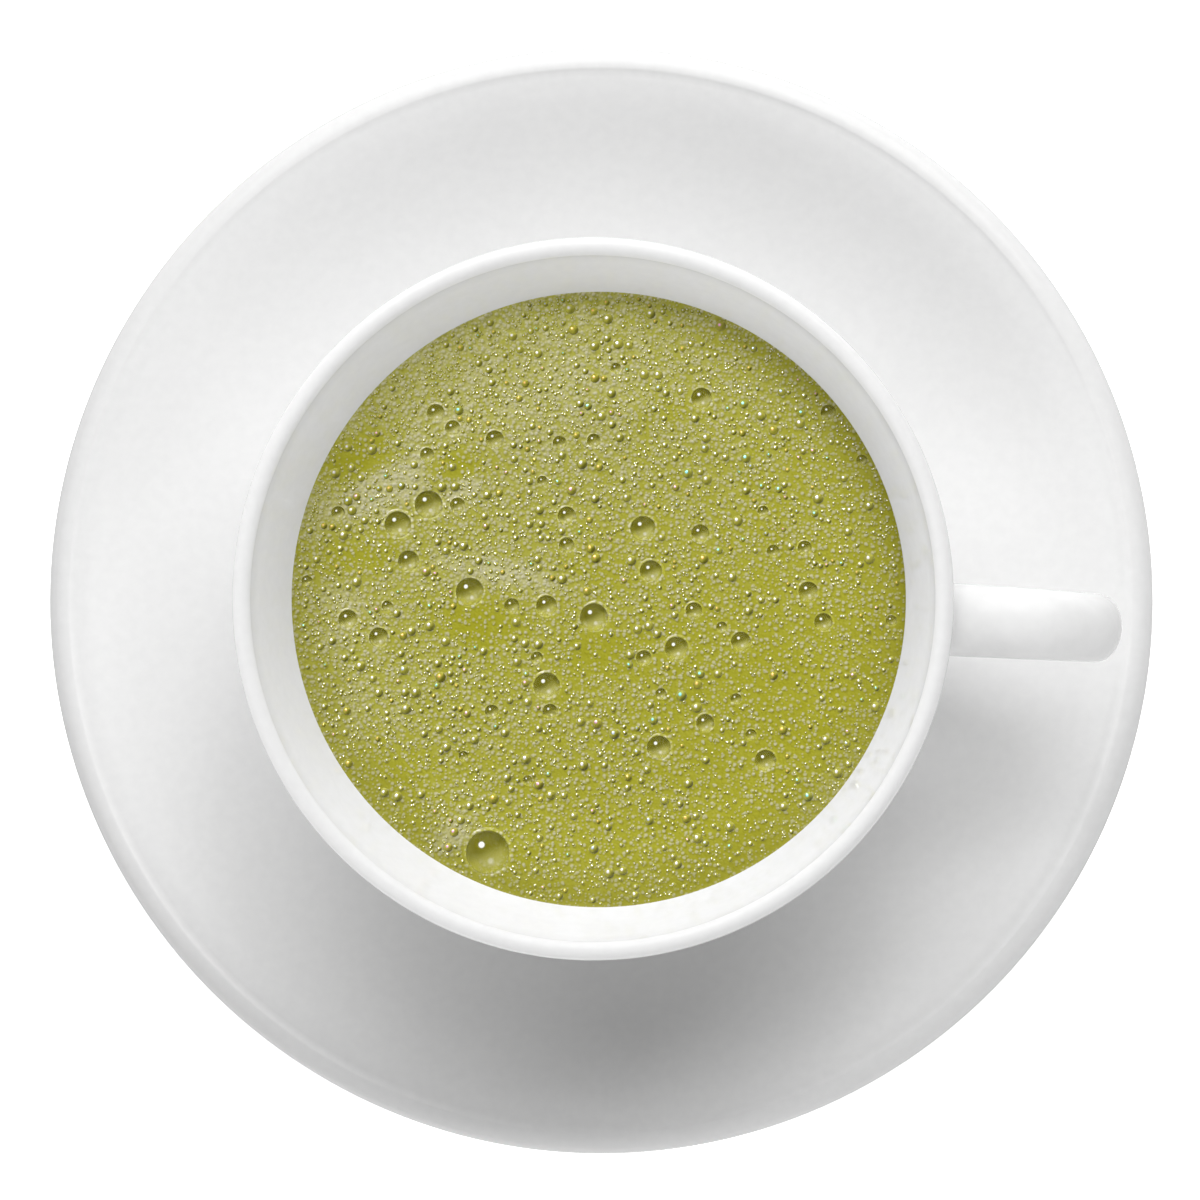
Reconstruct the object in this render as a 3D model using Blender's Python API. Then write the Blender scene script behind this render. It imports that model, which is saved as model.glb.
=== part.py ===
"""A matcha latte: a frothy green drink in a porcelain cup, on its saucer.

Metres, +Z up. The origin is the centre of the saucer's foot ring, on the table. The handle points along +X.
"""
import math

import bmesh
import bpy
from mathutils import Matrix, Vector

MM = 0.001

# All turned pieces
FACETS = 64                       # facets round the axis
WELD = 0.001 * MM                 # vertices closer than this are one
CLEARANCE = 0.3 * MM              # gap where one piece rests on another

# Saucer: outline measured from its own axis and the table
SAUCER_RADIUS = 80 * MM
SAUCER_LIP_ROUND = 2.8 * MM       # outer round of the lip
SAUCER_LIP_INNER_ROUND = 0.9 * MM
SAUCER_HEIGHT = 16.5 * MM         # crest of the lip
SAUCER_SHELF = 7.7 * MM           # height of the dish round the well
WELL_FLOOR = 6.5 * MM
WELL_RADIUS = 29.6 * MM
WELL_EDGE = 1.9 * MM              # width of the step down into the well
SAUCER_FOOT_RADIUS = 44 * MM
SAUCER_FOOT_WIDTH = 3.2 * MM
SAUCER_FOOT_HEIGHT = 3.0 * MM     # the underside within the foot ring

# Cup: outline measured from its own axis and the bottom of its foot
CUP_OFFSET = 2.5 * MM             # the cup stands a little off the saucer's centre, towards its handle
CUP_HEIGHT = 62 * MM
RIM_RADIUS = 50 * MM
RIM_ROUND = 1.3 * MM              # half the wall's thickness at the rim
OUTER_LEAN = 0.36                 # how far the wall leans out per unit of height, just under the rim
INNER_LEAN = 0.37
CUP_FOOT_RADIUS = 26.5 * MM
CUP_FOOT_WIDTH = 3.2 * MM
CUP_FOOT_HEIGHT = 3.0 * MM
CUP_FOOT_ROUND = 0.8 * MM
CUP_RECESS = 2.2 * MM             # hollow under the cup, within its foot
CUP_FLOOR = 6.2 * MM              # inside floor
CUP_FLOOR_RADIUS = 19 * MM        # flat part of the floor
LEAN_REACH = 26 * MM              # the wall keeps about its lean this far down from the rim

# Handle: a round ear in the plane Y = 0 of the cup
HANDLE_TOP = 59 * MM              # height of the crown
CROWN_REACH = 59.2 * MM           # the crown's distance from the cup's axis
CROWN_RADIUS = 16 * MM            # outer contour from the crown back to the arm
CROWN_STEPS = 3
ARM_RISE = 26                     # degrees that the straight arm rises from the wall
EAR_REACH = 73.7 * MM             # outermost point from the cup's axis
EAR_END_ANGLE = -50               # degrees below level where the bend ends and the tail begins
TAIL_HEIGHT = 16.6 * MM           # where the tail meets the wall
TAIL_EASE = 9 * MM                # how far the tail keeps its direction at either end
TAIL_SLOPE = 0.07                 # fall of the tail as it meets the wall
TAIL_STEPS = 5
HANDLE_WIDTH = 10.3 * MM
HANDLE_WIDTH_AT_BEND = 9.5 * MM
HANDLE_THICKNESS = 7.6 * MM
HANDLE_THICKNESS_AT_TAIL = 6.4 * MM
HANDLE_SINK = 1.3 * MM            # how deep the roots sit in the wall
ROOT_STEP = 0.05 * MM             # fineness with which the arm's root is found on the wall
FLARE_LENGTH = 3.2 * MM           # the roots widen over this length
FLARE = 0.24                      # by this share of the section
SECTION_SIDES = 16
BEND_STEPS = 14

# Drink
LEVEL = 47.5 * MM                 # top of the drink over the cup's foot
BUBBLE_RISE = 0.36                # height of a bubble's dome, as a share of its radius
BUBBLE_SINK = 0.25 * MM
BUBBLE_SIDES = 12
BUBBLE_RINGS = 3
VIEW_TURN = math.radians(3.3)     # the bubbles' places are read off with the handle turned this far clockwise

# The largest bubbles: to the right of the drink's centre, up from it, radius, all in millimetres
BUBBLES = (
    (-15.5, -35.4, 3.1), (-23.8, 13.3, 2.0), (-28.1, 10.5, 1.9), (-26.6, 5.4, 1.5),
    (-18.0, 1.1, 2.0), (-22.8, 26.1, 1.3), (-14.5, 22.4, 1.3), (-4.4, 11.7, 1.3),
    (14.5, 28.1, 1.5), (6.3, 9.9, 1.8), (14.3, 9.2, 1.3), (7.4, 3.9, 1.6),
    (29.4, 1.1, 1.4), (-35.1, -2.8, 1.4), (-30.8, -5.3, 1.4), (-7.2, -0.9, 1.5),
    (-0.6, -2.5, 2.0), (-7.2, -12.1, 1.9), (31.5, -3.2, 1.3), (20.0, -5.9, 1.4),
    (11.0, -6.9, 1.7), (15.0, -17.3, 1.3), (8.5, -20.7, 1.7), (23.4, -22.5, 1.5),
)

# Colours are linear
PORCELAIN = {"name": "white_porcelain", "color": (0.86, 0.86, 0.85, 1), "roughness": 0.12}
MATCHA = {"name": "matcha_froth", "color": (0.39, 0.375, 0.087, 1), "roughness": 0.35}


def arc(centre, radius, start, end, steps):
    """Points (r, z) on a circle, from start to end in degrees, 0 pointing outwards and 90 up."""
    angles = [math.radians(start + (end - start) * i / steps) for i in range(steps + 1)]
    return [(centre[0] + radius * math.cos(a), centre[1] + radius * math.sin(a)) for a in angles]


def bezier(p0, p1, p2, p3, steps):
    """Points on a cubic curve, both ends included."""
    points = []
    for i in range(steps + 1):
        t = i / steps
        weights = ((1 - t) ** 3, 3 * t * (1 - t) ** 2, 3 * t * t * (1 - t), t ** 3)
        points.append(tuple(sum(w * p[k] for w, p in zip(weights, (p0, p1, p2, p3))) for k in (0, 1)))
    return points


def inset(outline, distance):
    """The outline moved to its left-hand side by a distance, point by point."""
    moved = []
    for i, (r, z) in enumerate(outline):
        before = outline[max(i - 1, 0)]
        after = outline[min(i + 1, len(outline) - 1)]
        along = Vector((after[0] - before[0], after[1] - before[1])).normalized()
        moved.append((r - along.y * distance, z + along.x * distance))
    return moved


def saucer_outline():
    """From the middle of the underside, out under the dish, over the lip and back across the well."""
    foot_inner = SAUCER_FOOT_RADIUS - SAUCER_FOOT_WIDTH
    foot_middle = SAUCER_FOOT_RADIUS - SAUCER_FOOT_WIDTH / 2
    lip_r = SAUCER_RADIUS - SAUCER_LIP_ROUND
    lip_z = SAUCER_HEIGHT - SAUCER_LIP_ROUND
    inner_z = SAUCER_HEIGHT - SAUCER_LIP_INNER_ROUND
    foot = [
        (0, SAUCER_FOOT_HEIGHT),
        (foot_inner - 1.5 * MM, SAUCER_FOOT_HEIGHT),
        (foot_inner - 0.3 * MM, SAUCER_FOOT_HEIGHT - 0.8 * MM),
        (foot_inner + 0.4 * MM, 0),
        (foot_middle, 0),
        (SAUCER_FOOT_RADIUS - 0.4 * MM, 0),
        (SAUCER_FOOT_RADIUS + 0.3 * MM, 1.9 * MM),
    ]
    lip = arc((lip_r, lip_z), SAUCER_LIP_ROUND, -67.5, 90, 7)
    underside = bezier(
        (SAUCER_FOOT_RADIUS + 1.6 * MM, 3.1 * MM),
        (SAUCER_FOOT_RADIUS + 20 * MM, 4.4 * MM),
        (lip_r - 8 * MM, lip[0][1] - 3.2 * MM),
        lip[0],
        6,
    )
    crease = arc((lip_r, inner_z), SAUCER_LIP_INNER_ROUND, 90, 122, 2)
    dish = bezier(
        (lip_r - 1.0 * MM, SAUCER_HEIGHT - 0.33 * MM),
        (lip_r - 6.7 * MM, SAUCER_HEIGHT - 0.75 * MM),
        (lip_r - 15.2 * MM, SAUCER_SHELF + 0.1 * MM),
        (SAUCER_FOOT_RADIUS, SAUCER_SHELF),
        9,
    )
    well = bezier(
        (WELL_RADIUS + WELL_EDGE, SAUCER_SHELF),
        (WELL_RADIUS + WELL_EDGE / 2, SAUCER_SHELF),
        (WELL_RADIUS + WELL_EDGE / 2, WELL_FLOOR),
        (WELL_RADIUS, WELL_FLOOR),
        4,
    )
    return foot + underside[:-1] + lip + crease[1:] + dish + well + [(0, WELL_FLOOR)]


def bowl_outside():
    """The cup's outer wall, from the top of the foot up to the rim's round."""
    top = CUP_HEIGHT - RIM_ROUND
    return bezier(
        (CUP_FOOT_RADIUS + 0.6 * MM, CUP_FOOT_HEIGHT),
        (CUP_FOOT_RADIUS + 10.5 * MM, CUP_FOOT_HEIGHT + 1.8 * MM),
        (RIM_RADIUS - OUTER_LEAN * LEAN_REACH, top - LEAN_REACH),
        (RIM_RADIUS, top),
        11,
    )


def bowl_inside():
    """The cup's inner wall, from the rim's round down to the flat of the floor."""
    top = CUP_HEIGHT - RIM_ROUND
    rim_inner = RIM_RADIUS - 2 * RIM_ROUND
    return bezier(
        (rim_inner, top),
        (rim_inner - INNER_LEAN * LEAN_REACH, top - LEAN_REACH),
        (CUP_FLOOR_RADIUS + 15 * MM, CUP_FLOOR + 0.4 * MM),
        (CUP_FLOOR_RADIUS, CUP_FLOOR),
        12,
    )


def cup_outline():
    """From the middle of the underside, round the foot, up the wall, over the rim and down inside."""
    foot_inner = CUP_FOOT_RADIUS - CUP_FOOT_WIDTH
    foot = [(0, CUP_RECESS), (foot_inner - 0.8 * MM, CUP_RECESS)]
    foot += arc((foot_inner + CUP_FOOT_ROUND, CUP_FOOT_ROUND), CUP_FOOT_ROUND, 180, 270, 2)
    foot += arc((CUP_FOOT_RADIUS - CUP_FOOT_ROUND, CUP_FOOT_ROUND), CUP_FOOT_ROUND, 270, 360, 2)
    rim = arc((RIM_RADIUS - RIM_ROUND, CUP_HEIGHT - RIM_ROUND), RIM_ROUND, 0, 180, 6)
    return foot + bowl_outside() + rim[1:-1] + bowl_inside() + [(0, CUP_FLOOR)]


def drink_outline():
    """The drink fills the cup up to its level, a hair clear of the wall."""
    wall = inset(bowl_inside(), -CLEARANCE)
    under = [(r, z) for r, z in wall if z < LEVEL]
    over = [(r, z) for r, z in wall if z >= LEVEL][-1]
    share = (LEVEL - under[0][1]) / (over[1] - under[0][1])
    edge = (under[0][0] + share * (over[0] - under[0][0]), LEVEL)
    return [(0, CUP_FLOOR + CLEARANCE)] + under[::-1] + [edge, (0, LEVEL)]


def bubble_outline(radius):
    """A low dome whose edge runs a little below the drink's surface."""
    rise = BUBBLE_RISE * radius
    sphere = (radius ** 2 + rise ** 2) / (2 * rise)
    centre = rise - sphere
    start = math.degrees(math.asin((-BUBBLE_SINK - centre) / sphere))
    dome = arc((0, centre), sphere, start, 90, BUBBLE_RINGS)
    return [(0, -BUBBLE_SINK)] + dome[:-1] + [(0, rise)]


def turned(name, outline, facets):
    """A closed solid: the outline, which starts and ends on the axis, spun once round Z."""
    bm = bmesh.new()
    points = [bm.verts.new((r, 0, z)) for r, z in outline]
    edges = [bm.edges.new(pair) for pair in zip(points, points[1:])]
    bmesh.ops.spin(
        bm, geom=points + edges, axis=(0, 0, 1), cent=(0, 0, 0), dvec=(0, 0, 0),
        angle=2 * math.pi, steps=facets, use_merge=True,
    )
    bmesh.ops.remove_doubles(bm, verts=bm.verts, dist=WELD)
    bmesh.ops.recalc_face_normals(bm, faces=bm.faces)
    return solid(name, bm)


def solid(name, bm):
    """A linked object from a finished bmesh."""
    mesh = bpy.data.meshes.new(name)
    bm.to_mesh(mesh)
    bm.free()
    made = bpy.data.objects.new(name, mesh)
    bpy.context.scene.collection.objects.link(made)
    return made


def wall_radius(height):
    """Outer radius of the cup's wall at a height over its foot."""
    wall = bowl_outside()
    for (r0, z0), (r1, z1) in zip(wall, wall[1:]):
        if z0 <= height <= z1:
            return r0 + (r1 - r0) * (height - z0) / (z1 - z0)
    return RIM_RADIUS


def arm_root(end):
    """Where the arm, falling from its outer end towards the cup, meets the wall."""
    step = Vector((math.cos(math.radians(ARM_RISE)), math.sin(math.radians(ARM_RISE)))) * ROOT_STEP
    point = Vector(end)
    while point.x > wall_radius(point.y):
        point -= step
    return point, step.normalized()


def handle_stations():
    """Along the ear: (point, direction, half width, half thickness, distance from the nearer root)."""
    thick = HANDLE_THICKNESS / 2
    ear_radius = EAR_REACH - CROWN_REACH
    crown = arc((CROWN_REACH, HANDLE_TOP - CROWN_RADIUS), CROWN_RADIUS - thick, 90 + ARM_RISE, 90, CROWN_STEPS)
    arm_start, along = arm_root(crown[0])
    path = [tuple(arm_start + along * d) for d in (0, FLARE_LENGTH / 3, FLARE_LENGTH * 2 / 3)]
    path += crown[:-1]
    path += arc((CROWN_REACH, HANDLE_TOP - ear_radius), ear_radius - thick, 90, EAR_END_ANGLE, BEND_STEPS)
    bend_end = path[-1]
    turn = math.radians(EAR_END_ANGLE)
    root = (wall_radius(TAIL_HEIGHT), TAIL_HEIGHT)
    path += bezier(
        bend_end,
        (bend_end[0] + TAIL_EASE * math.sin(turn), bend_end[1] - TAIL_EASE * math.cos(turn)),
        (root[0] + TAIL_EASE, root[1] + TAIL_EASE * TAIL_SLOPE),
        root,
        TAIL_STEPS,
    )[1:-1]
    path += [(root[0] + d, root[1] + d * TAIL_SLOPE) for d in (FLARE_LENGTH / 2, 0)]

    lengths = [0]
    for a, b in zip(path, path[1:]):
        lengths.append(lengths[-1] + math.dist(a, b))
    total = lengths[-1]
    stations = []
    for i, (x, z) in enumerate(path):
        before = path[max(i - 1, 0)]
        after = path[min(i + 1, len(path) - 1)]
        direction = Vector((after[0] - before[0], 0, after[1] - before[1])).normalized()
        share = lengths[i] / total
        middle = math.sin(math.pi * share)
        half_width = (HANDLE_WIDTH - (HANDLE_WIDTH - HANDLE_WIDTH_AT_BEND) * middle) / 2
        half_thick = (HANDLE_THICKNESS + (HANDLE_THICKNESS_AT_TAIL - HANDLE_THICKNESS) * share) / 2
        stations.append((Vector((x, 0, z)), direction, half_width, half_thick, min(lengths[i], total - lengths[i])))
    return stations


def handle_ring(bm, station, seated):
    """One elliptical section; a seated one lies in the wall, following its curve."""
    point, direction, half_width, half_thick, distance = station
    swell = 1 + FLARE * max(0, 1 - distance / FLARE_LENGTH) ** 2
    up = direction.cross(Vector((0, 1, 0))).normalized()
    ring = []
    for i in range(SECTION_SIDES):
        a = 2 * math.pi * i / SECTION_SIDES
        corner = point + up * (half_thick * swell * math.sin(a))
        corner.y = half_width * swell * math.cos(a)
        if seated:
            corner.x = math.sqrt((wall_radius(corner.z) - HANDLE_SINK) ** 2 - corner.y ** 2)
        ring.append(bm.verts.new(corner))
    return ring


def handle():
    """The ear, closed at both roots, which sit inside the thickness of the wall."""
    bm = bmesh.new()
    stations = handle_stations()
    rings = [handle_ring(bm, stations[0], True)]
    rings += [handle_ring(bm, station, False) for station in stations[1:-1]]
    rings += [handle_ring(bm, stations[-1], True)]
    for near, far in zip(rings, rings[1:]):
        for i in range(SECTION_SIDES):
            j = (i + 1) % SECTION_SIDES
            bm.faces.new((near[i], near[j], far[j], far[i]))
    for ring in (rings[0], rings[-1]):
        end = bm.faces.new(ring)
        bmesh.ops.triangulate(bm, faces=[end])
    bmesh.ops.recalc_face_normals(bm, faces=bm.faces)
    return solid("handle", bm)


def fuse(base, extras):
    """Join the extras to the base as one closed solid."""
    group = bpy.data.collections.new("extras")
    bpy.context.scene.collection.children.link(group)
    for extra in extras:
        group.objects.link(extra)
    union = base.modifiers.new("union", "BOOLEAN")
    union.operation = "UNION"
    union.operand_type = "COLLECTION"
    union.collection = group
    union.solver = "EXACT"
    evaluated = base.evaluated_get(bpy.context.evaluated_depsgraph_get())
    base.data = bpy.data.meshes.new_from_object(evaluated)
    base.modifiers.remove(union)
    for extra in extras:
        bpy.data.objects.remove(extra)
    bpy.data.collections.remove(group)


def finish(piece, look, sharp=math.radians(35)):
    """Smooth shading and the piece's own material."""
    material = bpy.data.materials.new(look["name"] + "_" + piece.name)
    material.use_nodes = True
    shader = material.node_tree.nodes["Principled BSDF"]
    shader.inputs["Base Color"].default_value = look["color"]
    shader.inputs["Roughness"].default_value = look["roughness"]
    shader.inputs["Metallic"].default_value = 0
    piece.data.materials.clear()
    piece.data.materials.append(material)
    piece.data.shade_smooth()
    piece.data.set_sharp_from_angle(angle=sharp)


def make_saucer():
    saucer = turned("saucer", saucer_outline(), FACETS)
    finish(saucer, PORCELAIN)
    return saucer


def make_cup():
    """Bowl, foot and ear handle, one piece of porcelain."""
    cup = turned("cup", cup_outline(), FACETS)
    fuse(cup, [handle()])
    finish(cup, PORCELAIN)
    return cup


def make_drink():
    """The drink up to its level, with the largest bubbles standing on it as low domes."""
    drink = turned("matcha_latte", drink_outline(), FACETS)
    turn = Matrix.Rotation(VIEW_TURN, 3, "Z")
    domes = []
    for right, up, radius in BUBBLES:
        dome = turned("bubble", bubble_outline(radius * MM), BUBBLE_SIDES)
        place = turn @ Vector((right * MM, up * MM, LEVEL))
        dome.data.transform(Matrix.Translation(place))
        domes.append(dome)
    fuse(drink, domes)
    finish(drink, MATCHA)
    return drink


for old in list(bpy.data.objects):
    bpy.data.objects.remove(old)

make_saucer()
cup = make_cup()
cup.location = (CUP_OFFSET, 0, WELL_FLOOR + CLEARANCE)
drink = make_drink()
drink.parent = cup
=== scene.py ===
import math

import bpy
import numpy as np
from mathutils import Matrix, Vector, noise


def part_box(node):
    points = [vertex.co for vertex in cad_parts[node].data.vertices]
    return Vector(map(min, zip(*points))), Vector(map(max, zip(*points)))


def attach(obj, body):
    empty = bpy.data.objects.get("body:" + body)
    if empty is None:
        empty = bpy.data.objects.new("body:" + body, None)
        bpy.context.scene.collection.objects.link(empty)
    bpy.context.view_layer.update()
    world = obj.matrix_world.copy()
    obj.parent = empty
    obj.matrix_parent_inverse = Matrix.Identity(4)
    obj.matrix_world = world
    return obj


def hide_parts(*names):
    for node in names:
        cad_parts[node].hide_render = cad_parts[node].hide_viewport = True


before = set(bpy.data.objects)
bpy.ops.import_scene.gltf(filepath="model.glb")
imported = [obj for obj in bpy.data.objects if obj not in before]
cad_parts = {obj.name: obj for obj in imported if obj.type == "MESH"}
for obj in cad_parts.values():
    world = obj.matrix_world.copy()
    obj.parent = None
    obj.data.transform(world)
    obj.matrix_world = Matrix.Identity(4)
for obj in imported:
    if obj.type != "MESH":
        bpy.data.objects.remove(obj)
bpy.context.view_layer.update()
print("frame loaded")

mm = 0.001
lampAzimuth = 124                 # the small bright lamp that the bubbles mirror

# where the ware stands, read from the frame
saucerLow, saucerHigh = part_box("saucer")
cupLow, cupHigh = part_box("cup")
saucerRadius = (saucerHigh.x - saucerLow.x) / 2
saucerHeight = saucerHigh.z
rimRadius = (cupHigh.y - cupLow.y) / 2
cupHeight = cupHigh.z - cupLow.z
cupFoot = Vector((cupLow.x + rimRadius, 0, cupLow.z))      # on the cup's axis
earReach = cupHigh.x - cupFoot.x

# the photograph's framing
shot = {
    "turn": 3.3,                  # degrees that the handle points below the picture's right
    "leanRight": 3.7,             # degrees that the camera stands off the vertical
    "leanDown": 0.45,
    "distance": 1186 * mm,
    "lens": 245.7,
    "aimRight": 0.13 * mm,
    "aimUp": 0.094 * mm,
    "aimHeight": 13.7 * mm,
}
turn = math.radians(shot["turn"])
pictureRight = Vector((math.cos(turn), math.sin(turn), 0))
pictureUp = Vector((-math.sin(turn), math.cos(turn), 0))


def skyDirection(azimuth, offVertical):
    # both in degrees, the azimuth anticlockwise from the picture's right
    a = math.radians(azimuth)
    t = math.radians(offVertical)
    flat = pictureRight * math.cos(a) + pictureUp * math.sin(a)
    return flat * math.sin(t) + Vector((0, 0, math.cos(t)))


def makeCamera():
    aim = pictureRight * shot["aimRight"] + pictureUp * shot["aimUp"] + Vector((0, 0, shot["aimHeight"]))
    lean = pictureRight * math.tan(math.radians(shot["leanRight"]))
    lean -= pictureUp * math.tan(math.radians(shot["leanDown"]))
    back = (lean + Vector((0, 0, 1))).normalized()
    across = pictureUp.cross(back).normalized()
    axes = Matrix((across, back.cross(across), back)).transposed()
    bpy.ops.object.camera_add(location=aim + back * shot["distance"])
    camera = bpy.context.active_object
    camera.rotation_mode = "QUATERNION"
    camera.rotation_quaternion = axes.to_quaternion()
    camera.data.lens = shot["lens"]
    camera.data.sensor_width = 36
    camera.data.clip_end = 20
    camera.data.dof.use_dof = False
    bpy.context.scene.camera = camera


makeCamera()
print("camera placed")


# outlines are lists of (radius, height)
def arcPoints(centre, radius, start, end, steps):
    angles = [math.radians(start + (end - start) * i / steps) for i in range(steps + 1)]
    return [(centre[0] + radius * math.cos(a), centre[1] + radius * math.sin(a)) for a in angles]


def curvePoints(p0, p1, p2, p3, steps):
    points = []
    for i in range(steps + 1):
        t = i / steps
        weights = ((1 - t) ** 3, 3 * t * (1 - t) ** 2, 3 * t * t * (1 - t), t ** 3)
        points.append(tuple(sum(w * p[k] for w, p in zip(weights, (p0, p1, p2, p3))) for k in (0, 1)))
    return points


def radiusOn(outline, height):
    for (r0, z0), (r1, z1) in zip(outline, outline[1:]):
        if min(z0, z1) <= height <= max(z0, z1) and z0 != z1:
            return r0 + (r1 - r0) * (height - z0) / (z1 - z0)
    return outline[-1][0]


def turnShape(name, outline, centre, sides):
    # a point is drawn along the outline, from the axis back to the axis, and spun round once
    bpy.ops.object.select_all(action="DESELECT")
    start = (centre[0] + outline[0][0], centre[1], centre[2] + outline[0][1])
    bpy.ops.mesh.primitive_plane_add(size=mm, location=start)
    piece = bpy.context.active_object
    piece.name = name
    piece.data.name = name
    bpy.ops.object.transform_apply(location=True, rotation=True, scale=True)
    bpy.ops.object.mode_set(mode="EDIT")
    bpy.ops.mesh.select_all(action="SELECT")
    bpy.ops.mesh.merge(type="CENTER")
    for (r0, z0), (r1, z1) in zip(outline, outline[1:]):
        bpy.ops.mesh.extrude_vertices_move(TRANSFORM_OT_translate={"value": (r1 - r0, 0, z1 - z0)})
    bpy.ops.mesh.select_all(action="SELECT")
    bpy.ops.mesh.spin(steps=sides, angle=2 * math.pi, center=centre, axis=(0, 0, 1))
    bpy.ops.mesh.select_all(action="SELECT")
    bpy.ops.mesh.remove_doubles(threshold=0.002 * mm)
    bpy.ops.mesh.normals_make_consistent(inside=False)
    bpy.ops.object.mode_set(mode="OBJECT")
    return piece


def joinBoolean(piece, other, operation):
    change = piece.modifiers.new("join", "BOOLEAN")
    change.operation = operation
    change.object = other
    change.solver = "EXACT"
    bpy.ops.object.select_all(action="DESELECT")
    bpy.context.view_layer.objects.active = piece
    piece.select_set(True)
    bpy.ops.object.modifier_apply(modifier=change.name)
    bpy.data.objects.remove(other)


def smooth(piece, degrees):
    bpy.ops.object.select_all(action="DESELECT")
    bpy.context.view_layer.objects.active = piece
    piece.select_set(True)
    bpy.ops.object.shade_smooth_by_angle(angle=math.radians(degrees))


# saucer
saucerShape = {
    "sides": 224,
    "lipRound": 2.8 * mm,
    "creaseRound": 0.9 * mm,      # the lip rolls over into a faint crease before the dish
    "creaseTurn": 32,             # degrees
    "shelf": 7.7 * mm,
    "wellDepth": 1.2 * mm,
    "wellRadius": 29.6 * mm,
    "wellEdge": 1.9 * mm,
    "footRadius": 44 * mm,
    "footWidth": 3.2 * mm,
    "footHeight": 3.0 * mm,
    "footRound": 0.6 * mm,
}


def saucerOutline():
    s = saucerShape
    soft = s["footRound"]
    under = s["footHeight"]
    footOut = s["footRadius"]
    footIn = footOut - s["footWidth"]
    lipR = saucerRadius - s["lipRound"]
    lipZ = saucerHeight - s["lipRound"]
    wellFloor = s["shelf"] - s["wellDepth"]
    lip = arcPoints((lipR, lipZ), s["lipRound"], -67.5, 90, 30)
    line = [(0, under)]
    line += curvePoints((footIn - 1.6 * mm, under), (footIn - 0.5 * mm, under),
                        (footIn - 0.1 * mm, 1.6 * mm), (footIn, soft), 6)
    line += arcPoints((footIn + soft, soft), soft, 180, 270, 5)[1:]
    line += arcPoints((footOut - soft, soft), soft, 270, 360, 5)
    line += curvePoints((footOut, soft), (footOut + 0.1 * mm, 2.2 * mm),
                        (footOut + 0.5 * mm, 2.9 * mm), (footOut + 1.6 * mm, 3.1 * mm), 6)[1:]
    line += curvePoints((footOut + 1.6 * mm, 3.1 * mm), (footOut + 20 * mm, 4.4 * mm),
                        (lipR - 8 * mm, lip[0][1] - 3.2 * mm), lip[0], 18)[1:-1]
    line += lip
    line += arcPoints((lipR, saucerHeight - s["creaseRound"]), s["creaseRound"],
                      90, 90 + s["creaseTurn"], 6)[1:]
    line += curvePoints((lipR - 1.0 * mm, saucerHeight - 0.33 * mm),
                        (lipR - 6.7 * mm, saucerHeight - 0.75 * mm),
                        (lipR - 15.2 * mm, s["shelf"] + 0.1 * mm), (footOut, s["shelf"]), 40)
    wellTop = s["wellRadius"] + s["wellEdge"]
    wellMiddle = s["wellRadius"] + s["wellEdge"] / 2
    line += curvePoints((wellTop, s["shelf"]), (wellMiddle, s["shelf"]),
                        (wellMiddle, wellFloor), (s["wellRadius"], wellFloor), 10)
    return line + [(0, wellFloor)]


def makeSaucer():
    piece = turnShape("saucer_porcelain", saucerOutline(), (0, 0, 0), saucerShape["sides"])
    smooth(piece, 40)
    return piece


saucer = makeSaucer()
print("saucer modelled")

# cup, measured from its foot
cupShape = {
    "sides": 224,
    "rimRound": 1.3 * mm,
    "outerLean": 0.36,            # how far the wall leans out per unit of height, under the rim
    "innerLean": 0.37,
    "leanReach": 26 * mm,
    "footRadius": 26.5 * mm,
    "footWidth": 3.2 * mm,
    "footHeight": 3.0 * mm,
    "footRound": 0.8 * mm,
    "recess": 2.2 * mm,
    "floor": 6.2 * mm,
    "floorRadius": 19 * mm,
}


def outerWall(steps=34):
    c = cupShape
    top = cupHeight - c["rimRound"]
    return curvePoints(
        (c["footRadius"] + 0.6 * mm, c["footHeight"]),
        (c["footRadius"] + 10.5 * mm, c["footHeight"] + 1.8 * mm),
        (rimRadius - c["outerLean"] * c["leanReach"], top - c["leanReach"]),
        (rimRadius, top), steps)


def innerWall(steps=36):
    c = cupShape
    top = cupHeight - c["rimRound"]
    rimInner = rimRadius - 2 * c["rimRound"]
    return curvePoints(
        (rimInner, top),
        (rimInner - c["innerLean"] * c["leanReach"], top - c["leanReach"]),
        (c["floorRadius"] + 15 * mm, c["floor"] + 0.4 * mm),
        (c["floorRadius"], c["floor"]), steps)


def cupOutline():
    c = cupShape
    footIn = c["footRadius"] - c["footWidth"]
    soft = c["footRound"]
    top = cupHeight - c["rimRound"]
    line = [(0, c["recess"]), (footIn - 0.8 * mm, c["recess"])]
    line += arcPoints((footIn + soft, soft), soft, 180, 270, 6)
    line += arcPoints((c["footRadius"] - soft, soft), soft, 270, 360, 6)
    line += outerWall()
    line += arcPoints((rimRadius - c["rimRound"], top), c["rimRound"], 0, 180, 24)[1:-1]
    return line + innerWall() + [(0, c["floor"])]


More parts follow.
